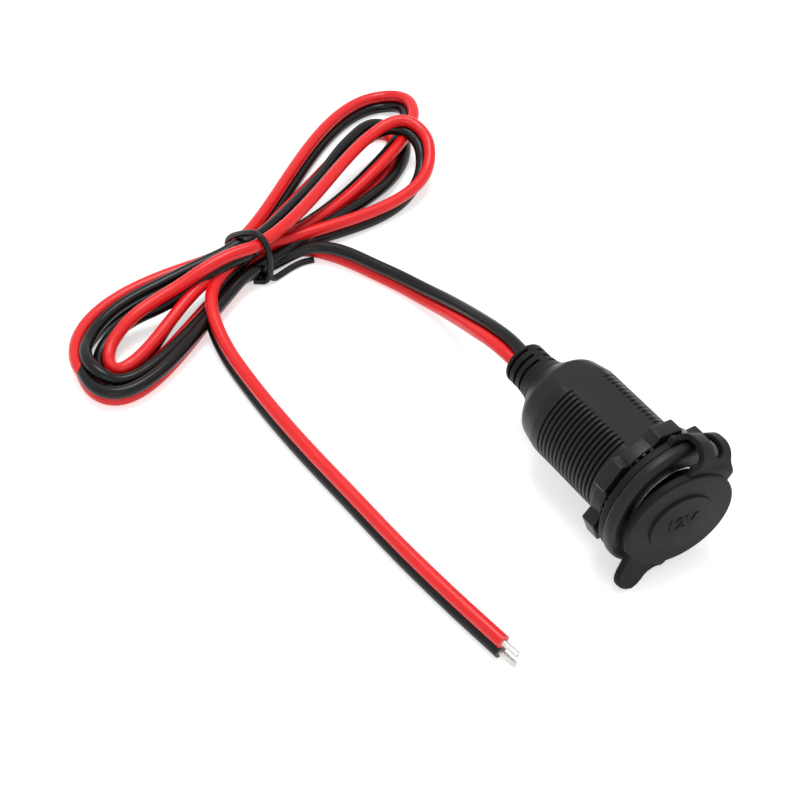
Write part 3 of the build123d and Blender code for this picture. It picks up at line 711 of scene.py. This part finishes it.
class SOCKET_OT_lead(bpy.types.Operator):
    """Red and black cores of the twin lead, their bare ends and the twist tie"""
    bl_idname = "power_socket.lead"
    bl_label = "Twin lead"

    def execute(self, context):
        sizes = context.scene.lead_sizes
        radius = sizes.core_diameter / MM / 2
        half = sizes.core_spacing / MM / 2
        line = lead_line(radius, half)
        tie = self.twist_tie()
        for colour, side, pvc, extra in (("red", 1, red_pvc(), []), ("black", -1, black_pvc(), [tie])):
            points = core_points(line, side * half)
            core = new_object(f"{colour}_core", smooth_curve(f"{colour}_core", points, radius), pvc)
            dress(core, "socket", f"{colour}_pvc", "cord_lead", "cord_hank", "cord_tail")
            tip = self.bare_end(colour, points, sizes)
        return {"FINISHED"}

    def bare_end(self, colour, points, sizes):
        """Twisted tinned strands that come out of the cut insulation."""
        strand = sizes.strand_diameter * STRAND_SHARE
        mesh = run_nodes(f"{colour}_bare_end", tree_named("twisted_strands", strand_tree), {
            "Count": STRANDS, "Ring Radius": sizes.strand_diameter / 2 - strand, "Strand Radius": strand * STRAND_SWELL,
            "Length": sizes.tip_length + STRAND_FOOT * MM, "Twist": STRAND_TWIST})
        aim = (points[-1] - points[-2]).normalized()
        foot = (points[-1] - aim * STRAND_FOOT) * MM
        mesh.transform(Matrix.Translation(foot) @ aim.to_track_quat("Z", "Y").to_matrix().to_4x4())
        shade(mesh, 60.0)
        obj = new_object(f"{colour}_bare_end", mesh, tinned_copper())
        return dress(obj, "socket", "tinned_copper", f"{colour}_conductor_tip")

    def twist_tie(self):
        """Plastic-coated wire once around the bundle, with a short stub and one loose end along the floor."""
        aim = Vector((math.cos(math.radians(HANK_BEARING)), math.sin(math.radians(HANK_BEARING)), 0))
        across = Vector((aim.y, -aim.x, 0))
        foot = Vector((*TIE_CENTRE, FLOOR))
        loop = [foot + across * right + Vector((0, 0, rise)) for right, rise in TIE_LOOP]
        curves = [smooth_curve("tie_loop", loop, TIE_WIRE, cyclic=True)]
        for name, points in (("tie_loose_end", TIE_END), ("tie_stub", TIE_STUB)):
            curves.append(smooth_curve(name, [Vector(point) for point in points], TIE_WIRE))
        meshes = [plain_mesh(new_object(curve.name, curve), curve.name) for curve in curves]
        obj = new_object("twist_tie_wire", join("twist_tie_wire", meshes), tie_pvc())
        return dress(obj, "socket", "black_pvc", "twist_tie")


# Housing

RIDGES = 15
RIDGE_FIRST = -11.05
RIDGE_FOOT = 0.3
CREST_HALF, CREST_SINK, CREST_ROUND = 0.36, 0.02, 0.12
GROOVE_END = 0.3
FLAT_TURN, FLAT_FRONT, FLAT_SINK = 5.0, -0.2, 0.05
DISH_FLOOR, DISH_RADIUS, DISH_DRAFT = 1.7, 15.7, 0.4
SLEEVE_BORE = 11.4
DOME = [(-35.0, 14.3, 3.0), (-41.0, 13.0, 4.5), (-45.9, 7.9, 0.4)]
CAVITY = [(-46.0, 4.9), (-42.4, 4.9), (-42.4, 6.6, 0.8), (-39.6, 9.28, 0.8), (-33.6, 9.28), (-33.6, SLEEVE_BORE)]


def flatten(limit):
    """Shape that cuts the barrel's flats by holding back what stands beyond them behind the flange."""
    out = around(FLAT_TURN)

    def cut(point):
        beyond = point.dot(out)
        if abs(beyond) > limit and point.x < FLAT_FRONT:
            point -= out * (beyond - math.copysign(limit, beyond))
        return point
    return cut


class SOCKET_OT_housing(bpy.types.Operator):
    """Flange, ridged barrel with two flats and domed rear"""
    bl_idname = "power_socket.housing"
    bl_label = "Housing"

    def execute(self, context):
        sizes = context.scene.socket_sizes
        flange, thick = sizes.flange_radius / MM, sizes.flange_thickness / MM
        barrel, flat = sizes.barrel_radius / MM, sizes.flat_height / MM
        pitch, ridge = sizes.ridge_pitch / MM, sizes.ridge_height / MM
        groove = barrel - ridge
        ridge_end = RIDGE_FIRST - (RIDGES - 1) * pitch
        profile = eased([
            (DISH_FLOOR, SLEEVE_BORE), (DISH_FLOOR, DISH_RADIUS, 0.3), (thick, DISH_RADIUS + DISH_DRAFT, 0.25),
            (thick, flange, 1.5), (0.0, flange, 1.0), (0.0, barrel, 0.3), (RIDGE_FIRST + GROOVE_END, barrel, 0.2),
            (RIDGE_FIRST, groove), (ridge_end, groove), (ridge_end - GROOVE_END, barrel, 0.2), *DOME, *CAVITY,
            (DISH_FLOOR, SLEEVE_BORE),
        ])
        body = lathe("housing_body", profile[:-1], 192, closed=True, shape=flatten(flat), smooth_angle=24.0)
        middle, crest = RIDGE_FIRST - pitch / 2, barrel - CREST_SINK
        section = [(middle + p.x, p.y) for p in eased([
            (-pitch / 2, groove - RIDGE_FOOT), (-pitch / 2, groove), (-CREST_HALF, crest, CREST_ROUND),
            (CREST_HALF, crest, CREST_ROUND), (pitch / 2, groove), (pitch / 2, groove - RIDGE_FOOT)], 3)]
        single = lathe("ridge", section, 192, closed=True, shape=flatten(flat - FLAT_SINK))
        ridges = repeat(single, RIDGES - 1, shift=-pitch * MM)
        obj = new_object("housing_shell", join("housing_shell", [body, ridges]), housing_abs())
        dress(obj, "socket", "housing_plastic", "housing")
        return {"FINISHED"}


# Lock nut

NUT_BACK, NUT_FRONT = -7.8, -3.5
TOOTH_ROOT, TOOTH_TIP = -3.85, -3.25
NUT_BORE, NUT_RADIUS = 14.6, 16.5
NUT_LUGS, NUT_TURN = 6, 11.0
LUG = [(-5.0, 15.0), (5.0, 15.0), (5.0, 15.8), (3.7, 18.7), (-3.7, 18.7), (-5.0, 15.8)]
NUT_TEETH = 44
TOOTH = [(-0.6, 14.9), (0.6, 14.9), (0.55, 16.2), (-0.55, 16.2)]
TOOTH_FOOT = 0.6


class SOCKET_OT_lock_nut(bpy.types.Operator):
    """Lock nut: a ring with wedge lugs and a finely toothed front edge"""
    bl_idname = "power_socket.lock_nut"
    bl_label = "Lock nut"

    def execute(self, context):
        ring = band("nut_ring", NUT_BACK, TOOTH_ROOT, NUT_BORE, NUT_RADIUS, (0.3, 0.3, 0.35, 0.35))
        lug = prism("lug", LUG, NUT_BACK, NUT_FRONT, 0.35, axis_place())
        lugs = repeat(lug, NUT_LUGS, -2 * math.pi / NUT_LUGS, math.radians(-NUT_TURN))
        tooth = prism("tooth", TOOTH, TOOTH_ROOT - TOOTH_FOOT, TOOTH_TIP, 0.15, axis_place(), 1)
        teeth = repeat(tooth, NUT_TEETH, -2 * math.pi / NUT_TEETH)
        obj = new_object("lock_nut_ring", join("lock_nut_ring", [ring, lugs, teeth]), nut_nylon())
        dress(obj, "nut", "housing_plastic", "lock_nut")
        return {"FINISHED"}


# Tether ring and strap

RING_BACK, RING_FRONT = -2.2, -0.02
RING_BORE, RING_RADIUS = 14.5, 18.4
ROOT_INNER, ROOT_INSET = 12.0, 0.4
STRAP_TURN = 30.0
STRAP_NEAR_FLARE, STRAP_FAR_FLARE, STRAP_EAR_FLARE = 3.0, 1.0, 1.5
STRAP_FOOT_RUN, STRAP_EAR_RUN = 4.0, 3.0
STRAP_ARCH = [(-1.35, 17.0), (-0.2, 20.2, 3.2), (5.8, 20.3, 4.4), (8.2, 15.6)]
STRAP_ROWS = 44
STRAP_EDGE = 0.8
# Slot in the strap: from and to along it, half width, and shift across it
SLOT_FROM, SLOT_TO, SLOT_HALF, SLOT_SHIFT = 4.0, 10.8, 1.8, 0.6


class SOCKET_OT_tether(bpy.types.Operator):
    """Rubber ring behind the flange and the slotted strap that holds the cap"""
    bl_idname = "power_socket.tether"
    bl_label = "Tether ring and strap"

    def execute(self, context):
        sizes = context.scene.socket_sizes
        ring = band("ring", RING_BACK, RING_FRONT, RING_BORE, RING_RADIUS, (0.3, 0.2, 0.3, 0.6))
        half = sizes.strap_width / MM / 2
        near, far = half + STRAP_NEAR_FLARE, half + STRAP_FAR_FLARE
        block = [(-near, ROOT_INNER), (far, ROOT_INNER), (far, RING_RADIUS), (-near, RING_RADIUS)]
        root = prism("root", block, RING_BACK + 0.05, RING_FRONT - 0.03, 0.5, axis_place(STRAP_TURN))
        clear_bore(root, RING_BORE + ROOT_INSET)
        obj = new_object("tether_ring_rubber", join("tether_ring_rubber", [ring, root]), cap_rubber())
        dress(obj, "socket", "cap_rubber", "tether_ring")
        self.strap(half, sizes.strap_thickness / MM)
        return {"FINISHED"}

    def strap(self, half, thickness):
        """Flat strap with a rounded slot, made flat and then laid along its arch."""
        arch = eased(STRAP_ARCH, 12)
        runs = run_lengths(arch)
        total = runs[-1]
        ends = [SLOT_HALF * (1 - math.cos(math.pi * i / 16)) for i in range(9)]
        rows = {round(total * i / STRAP_ROWS, 4) for i in range(STRAP_ROWS + 1)}
        rows |= {round(SLOT_FROM + end, 4) for end in ends} | {round(SLOT_TO - end, 4) for end in ends}
        bm = bmesh.new()
        grid = []
        for s in sorted(rows):
            gap = slot_opening(s)
            foot = max(0.0, 1 - s / STRAP_FOOT_RUN) ** 2
            ear = max(0.0, 1 - (total - s) / STRAP_EAR_RUN) ** 2 * STRAP_EAR_FLARE
            near, far = half + foot * STRAP_NEAR_FLARE + ear, half + foot * STRAP_FAR_FLARE + ear
            across = [-near, -near + STRAP_EDGE, -near / 2, SLOT_SHIFT - gap,
                      SLOT_SHIFT + gap, far * 0.6, far - STRAP_EDGE, far]
            grid.append([bm.verts.new((s, w, 0.0)) for w in across])
        for here, there in zip(grid, grid[1:]):
            for i in (0, 1, 2, 4, 5, 6):
                bm.faces.new((here[i], there[i], there[i + 1], here[i + 1]))
        bmesh.ops.remove_doubles(bm, verts=bm.verts, dist=0.002)
        bmesh.ops.recalc_face_normals(bm, faces=bm.faces)
        lift(bm, thickness, keep=True)
        bmesh.ops.translate(bm, vec=(0, 0, -thickness / 2), verts=bm.verts)
        round_edges(bm, 50.0, 0.3)
        out = around(STRAP_TURN)
        side = out.cross(Vector((1, 0, 0)))
        for vert in bm.verts:
            s, w, t = vert.co
            x, rho, normal = along_arch(arch, runs, s)
            vert.co = (Vector((x + normal.x * t, 0, 0)) + out * (rho + normal.y * t) + side * w) * MM
        bmesh.ops.recalc_face_normals(bm, faces=bm.faces)
        obj = new_object("tether_strap_rubber", write_mesh(bm, "tether_strap_rubber", 40.0), cap_rubber())
        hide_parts("tether_strap")
        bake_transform(obj)


def slot_opening(s):
    """Half width of the round-ended slot at a place along the strap."""
    if not SLOT_FROM < s < SLOT_TO:
        return 0.0
    into = min(s - SLOT_FROM, SLOT_TO - s, SLOT_HALF)
    return math.sqrt(max(0.0, SLOT_HALF ** 2 - (SLOT_HALF - into) ** 2))


def along_arch(arch, runs, s):
    """Place and outward normal at a length along the strap's arch."""
    s = max(0.0, min(runs[-1], s))
    i = max(k for k in range(len(runs) - 1) if runs[k] <= s)
    before, after = arch[max(i - 1, 0)], arch[min(i + 2, len(arch) - 1)]
    share = (s - runs[i]) / max(runs[i + 1] - runs[i], 1e-9)
    place = arch[i].lerp(arch[i + 1], share)
    first = (arch[i + 1] - before).normalized()
    second = (after - arch[i]).normalized()
    run = first.lerp(second, share).normalized()
    return place.x, place.y, Vector((-run.y, run.x))


def clear_bore(mesh, radius):
    """Push the inner end of a block out to a radius from the axis."""
    for vert in mesh.vertices:
        rho = math.hypot(vert.co.y, vert.co.z) / MM
        if rho < radius:
            vert.co.y *= radius / rho
            vert.co.z *= radius / rho


# Dust cap

CAP_TILT = 8.4
CAP_BACK = 6.09
CAP_DROP = (-0.48, -0.51)
BOSS, BOSS_FOOT, BOSS_TOP = 0.7, 9.1, 8.9
PLUG_END, PLUG_FOOT, PLUG_TIP, PLUG_BORE = -6.4, 9.5, 9.0, 7.2
EAR_INNER, EAR_SIDE, EAR_END, EAR_CORNER = 11.0, 16.2, 17.4, 0.9
EAR_BACK, EAR_FRONT = 0.05, 1.65
RATING_SIZE, RATING_RISE, RATING_ROUND = 5.6, 0.14, 0.05
# Pull tab: path out from the disc, half width, flare of its two sides, length of the round tip and thinning there
TAB_TURN = 222.0
TAB_START, TAB_KNEE, TAB_FLAP, TAB_BEND = 11.5, 15.0, 8.5, 14.0
TAB_HALF, TAB_FLARE, TAB_FLARE_FROM, TAB_FLARE_RUN = 4.9, (0.8, 4.6), 2.6, 5.2
TAB_TIP, TAB_TIP_HALF = 4.7, 0.7
TAB_THIN, TAB_THIN_RUN = 0.75, 0.6
# A quarter of the tab's round-edged section: across in half widths, through in millimetres
TAB_QUARTER = [(1, 0.35), (0.97, 0.75), (0.9, 1), (0.4, 1)]
TAB_UPPER = TAB_QUARTER + [(-w, t) for w, t in reversed(TAB_QUARTER)]
TAB_SECTION = TAB_UPPER + [(-w, -t) for w, t in TAB_UPPER]


def cap_frame():
    """Matrix of the cap's own frame: its normal is local X, and +Z stays up."""
    normal = Vector((math.cos(math.radians(CAP_TILT)), -math.sin(math.radians(CAP_TILT)), 0))
    up = Vector((0, 0, 1))
    matrix = Matrix((normal, up.cross(normal), up)).transposed().to_4x4()
    return Matrix.Translation(Vector((CAP_BACK, *CAP_DROP)) * MM) @ matrix


class SOCKET_OT_dust_cap(bpy.types.Operator):
    """Dust cap: round-edged disc with a raised middle, hollow plug, strap ear and bent pull tab"""
    bl_idname = "power_socket.dust_cap"
    bl_label = "Dust cap"

    def execute(self, context):
        sizes = context.scene.socket_sizes
        radius, thick = sizes.cap_radius / MM, sizes.cap_thickness / MM
        disc = lathe("disc", eased([
            (thick + BOSS, 0.0), (thick + BOSS, BOSS_TOP, 0.25), (thick, BOSS_FOOT, 0.1), (thick, radius, 0.8),
            (0.0, radius, 0.5), (0.0, PLUG_FOOT, 0.3), (PLUG_END, PLUG_TIP, 0.5), (PLUG_END, PLUG_BORE, 0.4),
            (0.0, PLUG_BORE, 0.6), (0.0, 0.0)]), 176, smooth_angle=38.0)
        half = sizes.strap_width / MM / 2 + STRAP_EAR_FLARE
        ear = prism("ear", [
            (-half, EAR_INNER), (half, EAR_INNER), (half, EAR_SIDE), (half - EAR_CORNER, EAR_END),
            (-half + EAR_CORNER, EAR_END), (-half, EAR_SIDE)], EAR_BACK, EAR_FRONT, 0.4, axis_place(STRAP_TURN))
        mesh = join("dust_cap_rubber", [disc, ear, self.tab(thick), self.rating(thick)])
        mesh.transform(cap_frame())
        obj = new_object("dust_cap_rubber", mesh, cap_rubber())
        dress(obj, "cap", "cap_rubber", "dust_cap")
        return {"FINISHED"}

    def tab(self, thick):
        """Pull tab: a tongue with a flared root and a round tip, bent forward."""
        bend = math.radians(TAB_BEND)
        path = eased([(thick / 2, TAB_START), (thick / 2, TAB_KNEE, 4.0),
                      (thick / 2 + TAB_FLAP * math.sin(bend), TAB_KNEE + TAB_FLAP * math.cos(bend))], 10)
        runs = run_lengths(path)
        total = runs[-1]
        out = around(TAB_TURN)
        side = out.cross(Vector((1, 0, 0)))
        rows = [total * i / 40 for i in range(28)]
        rows += [total - TAB_TIP * (1 - math.sin(math.pi * i / 24)) for i in range(4, 13)]
        verts = []
        for s in sorted(rows):
            x, rho, normal = along_arch(path, runs, s)
            left, right = tongue_halves(s, total)
            thin = 1.0 if s < total - TAB_THIN_RUN else TAB_THIN
            for w, t in TAB_SECTION:
                verts.append(Vector((x + normal.x * t * thin, 0, 0)) + out * (rho + normal.y * t * thin)
                             + side * w * (left if w > 0 else right))
        count = len(TAB_SECTION)
        faces = rings_to_faces(len(rows), count, False)
        faces.append(tuple(range(count)))
        faces.append(tuple(range(len(verts) - count, len(verts)))[::-1])
        return solid_mesh("tab", verts, faces, 50.0)

    def rating(self, thick):
        """Voltage rating raised on the cap's middle."""
        words = bpy.data.curves.new("rating", "FONT")
        words.body = "12V"
        words.size = RATING_SIZE * MM
        words.align_x = "CENTER"
        words.align_y = "CENTER"
        words.extrude = RATING_RISE * MM
        words.bevel_depth = RATING_ROUND * MM
        words.bevel_resolution = 1
        mesh = plain_mesh(new_object("rating", words), "rating")
        stand = Matrix(((0, 0, 1), (1, 0, 0), (0, 1, 0))).to_4x4()
        mesh.transform(Matrix.Translation(((thick + BOSS + RATING_ROUND) * MM, 0, 0)) @ stand)
        return mesh


def tongue_halves(s, total):
    """Half widths of the pull tab on its two sides: flared at the disc, round at the tip."""
    root = max(0.0, 1 - max(0.0, s - TAB_FLARE_FROM) / TAB_FLARE_RUN) ** 2
    into = max(0.0, TAB_TIP - (total - s)) / TAB_TIP
    round_off = math.sqrt(max(0.0, 1 - into ** 2))
    return [TAB_TIP_HALF + (TAB_HALF + root * flare - TAB_TIP_HALF) * round_off for flare in TAB_FLARE]


# Strain relief

NECK_END, NECK_FRONT = -57.6, -46.0
NECK_FOOT, NECK_LIP = 7.7, 0.5
# Swell towards the dome as (x, added radius, easing)
NECK_SWELL = [(-52.0, 0.0, 6.0), (-48.6, 0.5, 4.0)]
# Notches in two rows of three, the second row half a pitch further on
NOTCHES, NOTCH_FIRST, NOTCH_PITCH = 3, 2.0, 2.5
NOTCH_HALF, NOTCH_WALL, NOTCH_DEPTH, NOTCH_ARC = 0.4, 0.05, 1.4, 158.0
NOTCH_FLOOR = 4.0
RIB_TURN = 10.5


class SOCKET_OT_strain_relief(bpy.types.Operator):
    """Slotted rubber neck that guides the lead out of the dome"""
    bl_idname = "power_socket.strain_relief"
    bl_label = "Strain relief"

    def execute(self, context):
        radius = context.scene.socket_sizes.neck_radius / MM
        outline = eased([
            (NECK_END, 0.0), (NECK_END, radius, 1.2), *((x, radius + more, ease) for x, more, ease in NECK_SWELL),
            (NECK_FRONT, NECK_FOOT, 0.2), (NECK_FRONT + NECK_LIP, NECK_FOOT), (NECK_FRONT + NECK_LIP, 0.0)], 8)
        notches = [(NECK_END + NOTCH_FIRST + (k + row / 2) * NOTCH_PITCH, RIB_TURN - 90 + 180 * row)
                   for row in (0, 1) for k in range(NOTCHES)]
        edge = NOTCH_HALF + NOTCH_WALL
        cuts = sorted(x + shift for x, _ in notches for shift in (-edge, -NOTCH_HALF, NOTCH_HALF, edge))
        profile = []
        for here, there in zip(outline, outline[1:]):
            profile.append(here)
            for x in cuts:
                if here.x < x < there.x:
                    profile.append(here.lerp(there, (x - here.x) / (there.x - here.x)))
        profile.append(outline[-1])

        def dent(point):
            rho = math.hypot(point.y, point.z)
            angle = math.degrees(math.atan2(point.y, point.z))
            for x, turn in notches:
                off = abs((angle - turn + 180) % 360 - 180)
                if abs(point.x - x) <= NOTCH_HALF + 0.01 and off <= NOTCH_ARC / 2 and rho > NOTCH_FLOOR:
                    point.y *= 1 - NOTCH_DEPTH / rho
                    point.z *= 1 - NOTCH_DEPTH / rho
                    break
            return point

        mesh = lathe("strain_relief_rubber", profile, 144, shape=dent)
        obj = new_object("strain_relief_rubber", mesh, cap_rubber())
        dress(obj, "socket", "cap_rubber", "strain_relief")
        return {"FINISHED"}


# Spring behind the centre contact

SPRING_BACK, SPRING_FRONT = -30.5, -28.4
SPRING_LEAF = 0.3
SPRING_OUTER, SPRING_INNER = 3.8, 2.6


class SOCKET_OT_contact_spring(bpy.types.Operator):
    """Dished spring leaf that flattens as the centre contact is pressed"""
    bl_idname = "power_socket.contact_spring"
    bl_label = "Contact spring"

    def execute(self, context):
        leaf = lathe("contact_spring_leaf", [
            (SPRING_BACK, SPRING_OUTER), (SPRING_BACK + SPRING_LEAF, SPRING_OUTER), (SPRING_FRONT, SPRING_INNER),
            (SPRING_FRONT - SPRING_LEAF, SPRING_INNER)], 96, closed=True)
        obj = new_object("contact_spring_leaf", leaf, spring_steel())
        dress(obj, "socket", "nickel", "contact_spring")
        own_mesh(obj)
        return {"FINISHED"}


# Metal and inner parts keep their CAD shape


class SOCKET_OT_fittings(bpy.types.Operator):
    """Finishes of the contacts, insulator, rivets, tags and inner cores"""
    bl_idname = "power_socket.fittings"
    bl_label = "Contacts and fittings"

    def execute(self, context):
        finishes = {
            "sleeve_contact": nickel(), "insulator": phenolic(), "positive_rivet": brass(), "centre_contact": brass(),
            "positive_tag": brass(), "negative_tag": tinned_copper(), "negative_rivet": brass(),
            "red_inner_core": red_pvc(), "black_inner_core": black_pvc(),
            "red_inner_strand": tinned_copper(), "black_inner_strand": tinned_copper(),
        }
        for node, material in finishes.items():
            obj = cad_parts[node]
            obj.data.materials.clear()
            obj.data.materials.append(material)
        return {"FINISHED"}


class VIEW3D_PT_power_socket(bpy.types.Panel):
    """Sidebar panel with the socket's sizes, colours and steps"""
    bl_label = "Power Socket"
    bl_space_type = "VIEW_3D"
    bl_region_type = "UI"
    bl_category = "Power Socket"

    def draw(self, context):
        layout = self.layout
        for group in (context.scene.socket_colours, context.scene.socket_sizes, context.scene.lead_sizes):
            box = layout.box()
            for name in group.__annotations__:
                box.prop(group, name)
        for step in STEPS:
            layout.operator(step.bl_idname)


GROUPS = {"socket_colours": SocketColours, "socket_sizes": SocketSizes, "lead_sizes": LeadSizes}
STEPS = (
    SOCKET_OT_stage, SOCKET_OT_lead, SOCKET_OT_housing, SOCKET_OT_lock_nut, SOCKET_OT_tether, SOCKET_OT_dust_cap,
    SOCKET_OT_strain_relief, SOCKET_OT_contact_spring, SOCKET_OT_fittings,
)


def register():
    for cls in (*GROUPS.values(), *STEPS, VIEW3D_PT_power_socket):
        bpy.utils.register_class(cls)
    for name, group in GROUPS.items():
        setattr(bpy.types.Scene, name, bpy.props.PointerProperty(type=group))


def unregister():
    for name in GROUPS:
        delattr(bpy.types.Scene, name)
    for cls in (VIEW3D_PT_power_socket, *reversed(STEPS), *GROUPS.values()):
        bpy.utils.unregister_class(cls)


def main():
    register()
    for step in STEPS:
        family, name = step.bl_idname.split(".")
        getattr(getattr(bpy.ops, family), name)()


if __name__ == "__main__":
    main()
